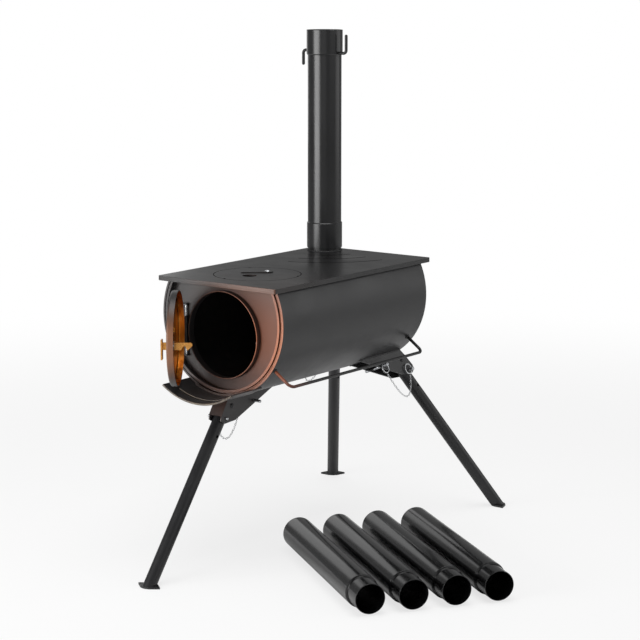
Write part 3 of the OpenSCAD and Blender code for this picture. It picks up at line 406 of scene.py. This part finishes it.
def inLidGap(point, normal):
    return lidRadius - lidGap["insideMm"] * mm < fromLid(point) < lidRadius + lidGap["outsideMm"] * mm


def onLidEdge(point, normal):
    return abs(normal.z) < 0.95 and fromLid(point) > lidRadius - lidGap["edgeMm"] * mm


def frontRim(point, normal):
    return normal.y < -0.35 and point.y < hotplateLow.y + 2 * mm


hotplate = dress("hotplate", hotplatePaint, 0.9, 3)
# The front rim takes painted firelight; the grooves and the lid's gap take painted shade
paintWhere(hotplate, plateLip, frontRim)
paintWhere(hotplate, paintedShadeLine, inGroove)
paintWhere(hotplate, paintedShadeLine, inLidGap)
lid = dress("hotplate_lid", hotplatePaint, 0.6)
# The lid's edge faces take painted shade
paintWhere(lid, paintedShadeLine, onLidEdge)
dress("lid_swing_tab", hotplatePaint, 0.4)
dress("lid_rivet", zincPlate, 0.2)

# Barrel, end plates and door ring

# How far behind the barrel's front the lips' painted firelight ends and the soot starts, in mm
behindFront = {"barrelLip": 1.2, "plateLip": 4, "ringLip": 0.8, "ringSoot": 9, "barrelSoot": 12}
wornEdgeAndHighlightWidth = {"ember_ledge": 0.7, "ember_tray": 0.5}  # width of the worn front edges with their painted highlight, in mm


def aheadOf(y):
    return lambda point, normal: point.y < y


def inFirebox(point, normal):
    radius = math.hypot(point.x, point.z - barrelAxis)
    facing = normal.x * point.x + normal.z * (point.z - barrelAxis)
    sooty = point.y > barrelFront + behindFront["barrelSoot"] * mm
    return radius < barrelRadius - 1 * mm and facing < 0 and sooty


barrel = dress("barrel_shell", blackPaint, 0.7, 3)
paintWhere(barrel, soot, inFirebox)
# The barrel's front lip takes painted firelight
paintWhere(barrel, firelitLip, aheadOf(barrelFront + behindFront["barrelLip"] * mm))
# The front plate and its rolled lip take painted firelight
frontPlate = dress("front_plate", firelitPaint, 0.5)
paintWhere(frontPlate, firelitLip, aheadOf(barrelFront + behindFront["plateLip"] * mm))
paintWhere(frontPlate, soot, lambda point, normal: normal.y > 0.9)
# The door ring and its lip take painted firelight
doorRing = dress("door_ring", firelitPaint, 0.5)
paintWhere(doorRing, firelitLip, aheadOf(barrelFront + behindFront["ringLip"] * mm))
paintWhere(doorRing, soot, lambda point, normal: point.y > barrelFront + behindFront["ringSoot"] * mm)
backPlate = dress("back_plate", blackPaint, 0.4)
paintWhere(backPlate, soot, lambda point, normal: normal.y < -0.5)
# The ledge and tray take painted firelight, and their worn front edges a painted highlight
ledge = dress("ember_ledge", firelitPaint, 0.6)
paintWhere(ledge, wornEdgeAndHighlight, aheadOf(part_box("ember_ledge")[0].y + wornEdgeAndHighlightWidth["ember_ledge"] * mm))
tray = dress("ember_tray", firelitPaint, 0.4)
paintWhere(tray, wornEdgeAndHighlight, aheadOf(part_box("ember_tray")[0].y + wornEdgeAndHighlightWidth["ember_tray"] * mm))

# Weld beads, painted over: a wavy round where two sheets meet

weld = {"radiusMm": 1.3, "ripplePitchMm": 2.6, "rippleShare": 0.14, "stepMm": 0.65}


def addBead(name, path, radiusMm=weld["radiusMm"], closed=False, material=None, body="stove"):
    points = [path[0]]
    step = weld["stepMm"] * mm
    for before, after in zip(path, path[1:] + (path[:1] if closed else [])):
        count = max(1, round((after - before).length / step))
        points += [before.lerp(after, (i + 1) / count) for i in range(count)]
    if closed:
        points.pop()
    turn = 2 * math.pi * weld["stepMm"] / weld["ripplePitchMm"]

    def radius(i):
        return radiusMm * mm * (1 + weld["rippleShare"] * math.sin(i * turn))

    mesh = meshFrom(name, lambda solid: tube(solid, points, radius, 10, closed))
    piece = addPiece(name, mesh, body, "black_stove_paint", material or blackPaint)
    for face in mesh.polygons:
        face.use_smooth = True
    return piece


def ringPath(middle, axis, radius, sides=72):
    first = axis.orthogonal().normalized()
    second = axis.cross(first)
    turns = [2 * math.pi * i / sides for i in range(sides)]
    return [middle + radius * (math.cos(a) * first + math.sin(a) * second) for a in turns]


def arcPath(radius, y, fromAngle, toAngle, sides=160):
    turns = [math.radians(fromAngle + (toAngle - fromAngle) * i / sides) for i in range(sides + 1)]
    return [Vector((radius * math.cos(a), y, barrelAxis + radius * math.sin(a))) for a in turns]


# Angles round the barrel's axis, from the right
seam = {"fromAngle": 25, "toAngle": -205, "insideMm": 4.9, "behindMm": 2.4, "radiusMm": 1.7}
# The seam bead takes the lips' painted firelight
addBead("front_rim_seam", arcPath(barrelRadius - seam["insideMm"] * mm, barrelFront + seam["behindMm"] * mm,
                                  seam["fromAngle"], seam["toAngle"]), seam["radiusMm"], material=firelitLip)
spigotFoot = Vector((flueAxis.x, flueAxis.y, hotplateHigh.z + 0.3 * mm))
addBead("spigot_weld", ringPath(spigotFoot, up, spigotRadius + 0.4 * mm), closed=True)

bracketWeld = {"halfWidthMm": 13.6, "reachMm": (4, 117)}  # along the barrel, from its end
for leg in legNames:
    pivot = centreOf(leg + "_pivot_bolt")
    pull = Vector(jointOf[leg + "_lock_pin_pull"]["axis"]).normalized()
    rise = Vector((-pull.z, 0, pull.x))
    rise *= 1 if rise.z > 0 else -1
    end, inwards = (barrelFront, 1) if leg == "front" else (barrelRear, -1)
    for side in (1, -1):
        foot = pivot + side * pull * bracketWeld["halfWidthMm"] * mm
        flat = Vector((foot.x, 0, foot.z - barrelAxis))
        along = flat.dot(rise)
        lift = -along - math.sqrt(along ** 2 - flat.length_squared + (barrelRadius + 0.2 * mm) ** 2)
        root = foot + rise * lift
        ends = [Vector((root.x, end + inwards * reach * mm, root.z)) for reach in bracketWeld["reachMm"]]
        addBead(f"{leg}_bracket_weld_{'right' if side > 0 else 'left'}", ends)

railWeld = {"wireMm": 2.5, "below": 35.7, "proudMm": 0.5, "radiusMm": 1.2}  # below the axis, in degrees
railAngle = math.radians(railWeld["below"])
railWire = railWeld["wireMm"] * mm
outward = Vector((math.cos(railAngle), 0, -math.sin(railAngle)))
for name, y in (("front", railLow.y + railWire), ("rear", railHigh.y - railWire)):
    root = Vector((0, y, barrelAxis)) + outward * (barrelRadius + railWeld["proudMm"] * mm)
    path = ringPath(root, outward, railWire + railWeld["proudMm"] * mm, 24)
    addBead(f"rail_{name}_weld", path, railWeld["radiusMm"], closed=True)

# Door and latch

# The door's rim takes a pool of painted firelight
doorPan = dress("door_pan", firelitDoorPaint, 0.4)
doorMiddle = centreOf("door_pan")
inward = Vector((math.sin(doorOpen), math.cos(doorOpen), 0))


def insideDoor(point, normal):
    depth = (point - doorMiddle).dot(inward)
    outward = point - doorMiddle - inward * depth
    return normal.dot(outward.normalized()) < -0.5 or (normal.dot(inward) > 0.9 and depth < 0)


# The door's inner face takes painted firelight and painted reflection streaks
paintWhere(doorPan, firelitDoorSteel, insideDoor)
dress("door_knuckle", blackPaint, 0.4)
dress("hinge_bracket", blackPaint, 0.4)
dress("hinge_pin", zincPlate, 0.2)
# The latch lever's gold is partly painted firelight
dress("latch_lever", yellowZincAndFirelight, 0.4)
dress("latch_bracket", zincPlate, 0.3)
dress("latch_pin", zincPlate, 0.2)
dress("latch_keeper", zincPlate, 0.3)
dress("air_vent_disc", blackPaint, 0.3)
dress("vent_rivet", zincPlate, 0.2)

# Flue

dress("flue_spigot", fluePaint, 0.3)
dress("flue_section", fluePaint, 0.4)
flueSeam = {"aboveFootMm": 46, "belowCollarMm": 1, "sunkMm": 0.1, "radiusMm": 0.7}
flueBack = flueAxis.y + spigotRadius - flueSeam["sunkMm"] * mm
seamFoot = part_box("flue_section")[0].z + flueSeam["aboveFootMm"] * mm
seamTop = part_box("flue_top_collar")[0].z - flueSeam["belowCollarMm"] * mm
seamEnds = [Vector((flueAxis.x, flueBack, z)) for z in (seamFoot, seamTop)]
addBead("flue_seam", seamEnds, flueSeam["radiusMm"], material=fluePaint, body="flue")
dress("flue_top_collar", fluePaint, 0.5)
dress("guy_hook_right", wirePaint, 0)
dress("guy_hook_left", wirePaint, 0)
for number in range(1, 5):
    dress(f"loose_flue_section_{number}", loosePaint, 0.4)
# The rail's front arm takes painted firelight
dress("side_rail", firelitRailPaint, 0)
print("barrel, door and flue dressed")

# Legs

for leg in legNames:
    # The front leg's bracket takes painted firelight
    dress(leg + "_leg_bracket", firelitPaint if leg == "front" else blackPaint, 0.5)
    dress(leg + "_leg_tube", legPaint, 0.3)
    dress(leg + "_foot", legPaint, 0.5)
    dress(leg + "_pivot_bolt", blackPaint, 0.2)
    for kind in ("lock", "stow"):
        dress(f"{leg}_{kind}_pin", zincPlate, 0)
        dress(f"{leg}_{kind}_ring", chainPlate, 0)

# Chains of oval links, made in two halves: one from the lock ring, one from the stow ring. Sag and hang, the drop
# from a ring's middle to the chain's end, are those of the CAD chain.

chain = {"wireMm": 0.45, "linkMm": 5.2, "widthMm": 3.4, "sagMm": 40, "hangMm": 10.9}


def addLink(mesh, centre, along, side):
    half = (chain["linkMm"] - chain["widthMm"]) / 2 * mm
    bend = (chain["widthMm"] / 2 - chain["wireMm"]) * mm
    path = []
    for end in (1, -1):
        for step in range(6):
            angle = math.pi * step / 5 - math.pi / 2
            reach, width = half + bend * math.cos(angle), bend * math.sin(angle)
            path.append(centre + end * (along * reach + side * width))
    tube(mesh, path, chain["wireMm"] * mm, 6, closed=True)


# The route lies along the bracket's side, as the CAD chain does, so that the folding leg passes it
def chainPath(leg, steps=200):
    first, last = centreOf(leg + "_lock_ring"), centreOf(leg + "_stow_ring")
    pull = Vector(jointOf[leg + "_lock_pin_pull"]["axis"])
    down = -(up - pull * up.dot(pull)).normalized()
    shares = [i / steps for i in range(steps + 1)]
    drops = [(chain["hangMm"] + 4 * chain["sagMm"] * share * (1 - share)) * mm for share in shares]
    return [first.lerp(last, share) + down * drop for share, drop in zip(shares, drops)]


def makeChain(leg):
    path = chainPath(leg)
    pitch = (chain["linkMm"] - 2 * chain["wireMm"]) * mm
    spots = [path[0]]
    run = 0
    for before, after in zip(path, path[1:]):
        run += (after - before).length
        if run >= pitch:
            spots.append(after)
            run = 0
    middle = len(spots) // 2
    across = (path[-1] - path[0]).cross(path[0] - spots[middle]).normalized()
    node = leg + "_pin_chain"
    halves = (("first", range(0, middle), "lock"), ("second", range(middle, len(spots) - 1), "stow"))
    for name, part, kind in halves:
        def links(mesh):
            for i in part:
                along = (spots[i + 1] - spots[i]).normalized()
                side = across if i % 2 else along.cross(across)
                addLink(mesh, (spots[i] + spots[i + 1]) / 2, along, side)
        piece = addPiece(f"{leg}_chain_{name}_half", meshFrom(node, links), None, slotOf[node], chainPlate,
                         stands=[node])
        for face in piece.data.polygons:
            face.use_smooth = True
        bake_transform(piece)


for leg in legNames:
    makeChain(leg)
print("legs and chains made")

# Floor, light and camera

studio = {
    "floor": "#f7f7f7", "floorSize": 30,
    "shadowShare": 0.27, "fadeFrom": 0.8, "fadeTo": 2.4,  # metres round the stove
    "sky": "#ffffff", "skyStrength": 0.25,
    "cameraAt": (1.9533, -2.1614, 0.9389), "cameraPitch": 79.849, "cameraHeading": 36.897, "lensMm": 109.8,
}
lamps = (  # name, place, aim, width and height in metres, power in watts
    ("key_panel", (-0.85, -2.05, 0.65), (0.03, 0.4, 0.5), 1.8, 1.1, 46),
    ("overhead_box", (0.3, 0.2, 2.6), (0.3, 0.35, 0.3), 1.8, 1.8, 34),
    ("camera_fill", (1.9, -2.6, 1.1), (0, 0.3, 0.4), 1.8, 1.4, 4),
    ("right_fill", (3.4, 0.6, 1.8), (0, 0.35, 0.4), 2.6, 2.4, 13),
    ("rear_right_panel", (2.6, 3.2, 1.2), (0, 0.35, 0.4), 2.6, 2.0, 17),
    ("rear_left_panel", (-2.4, 1.8, 1.1), (0, 0.35, 0.5), 1.4, 1.4, 5),
)


def makeFloor():
    mesh = meshFrom("studio_floor", lambda solid: bmesh.ops.create_grid(
        solid, x_segments=2, y_segments=2, size=studio["floorSize"]))
    floor = bpy.data.objects.new("studio_floor", mesh)
    scene.collection.objects.link(floor)
    material, tree, shader, place = startMaterial("white_studio_paper")
    shader.inputs["Base Color"].default_value = hexToLinear(studio["floor"])
    shader.inputs["Roughness"].default_value = 0.7
    white = addNode(tree, "ShaderNodeEmission", {"Color": (1, 1, 1, 1), "Strength": 1.0})
    away = addNode(tree, "ShaderNodeVectorMath", {"operation": "DISTANCE", 1: (0.1, 0.35, 0)}, {0: place})
    fade = addNode(tree, "ShaderNodeMapRange",
                   {"From Min": studio["fadeFrom"], "From Max": studio["fadeTo"],
                    "To Min": 1 - studio["shadowShare"], "To Max": 1.0, "interpolation_type": "SMOOTHSTEP"},
                   {"Value": away.outputs["Value"]})
    path = addNode(tree, "ShaderNodeLightPath")
    seen = addNode(tree, "ShaderNodeMath", {"operation": "MULTIPLY"},
                   {0: fade.outputs["Result"], 1: path.outputs["Is Camera Ray"]})
    mixed = addNode(tree, "ShaderNodeMixShader", {},
                    {0: seen.outputs[0], 1: shader.outputs["BSDF"], 2: white.outputs["Emission"]})
    output = next(node for node in tree.nodes if node.type == "OUTPUT_MATERIAL")
    tree.links.new(mixed.outputs["Shader"], output.inputs["Surface"])
    mesh.materials.append(material)


def makeWorld():
    world = bpy.data.worlds.new("studio")
    scene.world = world
    world.use_nodes = True
    tree = world.node_tree
    tree.nodes.clear()
    sky = addNode(tree, "ShaderNodeBackground",
                  {"Color": hexToLinear(studio["sky"]), "Strength": studio["skyStrength"]})
    white = addNode(tree, "ShaderNodeBackground", {"Color": (1, 1, 1, 1), "Strength": 1.0})
    path = addNode(tree, "ShaderNodeLightPath")
    mixed = addNode(tree, "ShaderNodeMixShader", {},
                    {0: path.outputs["Is Camera Ray"], 1: sky.outputs["Background"],
                     2: white.outputs["Background"]})
    addNode(tree, "ShaderNodeOutputWorld", {}, {"Surface": mixed.outputs["Shader"]})


def makeLamps():
    for name, spot, aim, width, height, power in lamps:
        lamp = bpy.data.lights.new(name, "AREA")
        lamp.shape = "RECTANGLE"
        lamp.size = width
        lamp.size_y = height
        lamp.energy = power
        holder = bpy.data.objects.new(name, lamp)
        holder.location = spot
        holder.rotation_euler = (Vector(aim) - Vector(spot)).to_track_quat("-Z", "Y").to_euler()
        holder.visible_camera = False
        scene.collection.objects.link(holder)


def makeCamera():
    data = bpy.data.cameras.new("photo_view")
    data.lens = studio["lensMm"]
    data.sensor_width = 36
    camera = bpy.data.objects.new("photo_view", data)
    camera.location = studio["cameraAt"]
    camera.rotation_euler = (math.radians(studio["cameraPitch"]), 0, math.radians(studio["cameraHeading"]))
    scene.collection.objects.link(camera)
    scene.camera = camera


makeFloor()
makeWorld()
makeLamps()
makeCamera()
scene.view_settings.view_transform = "Standard"
print("studio made")
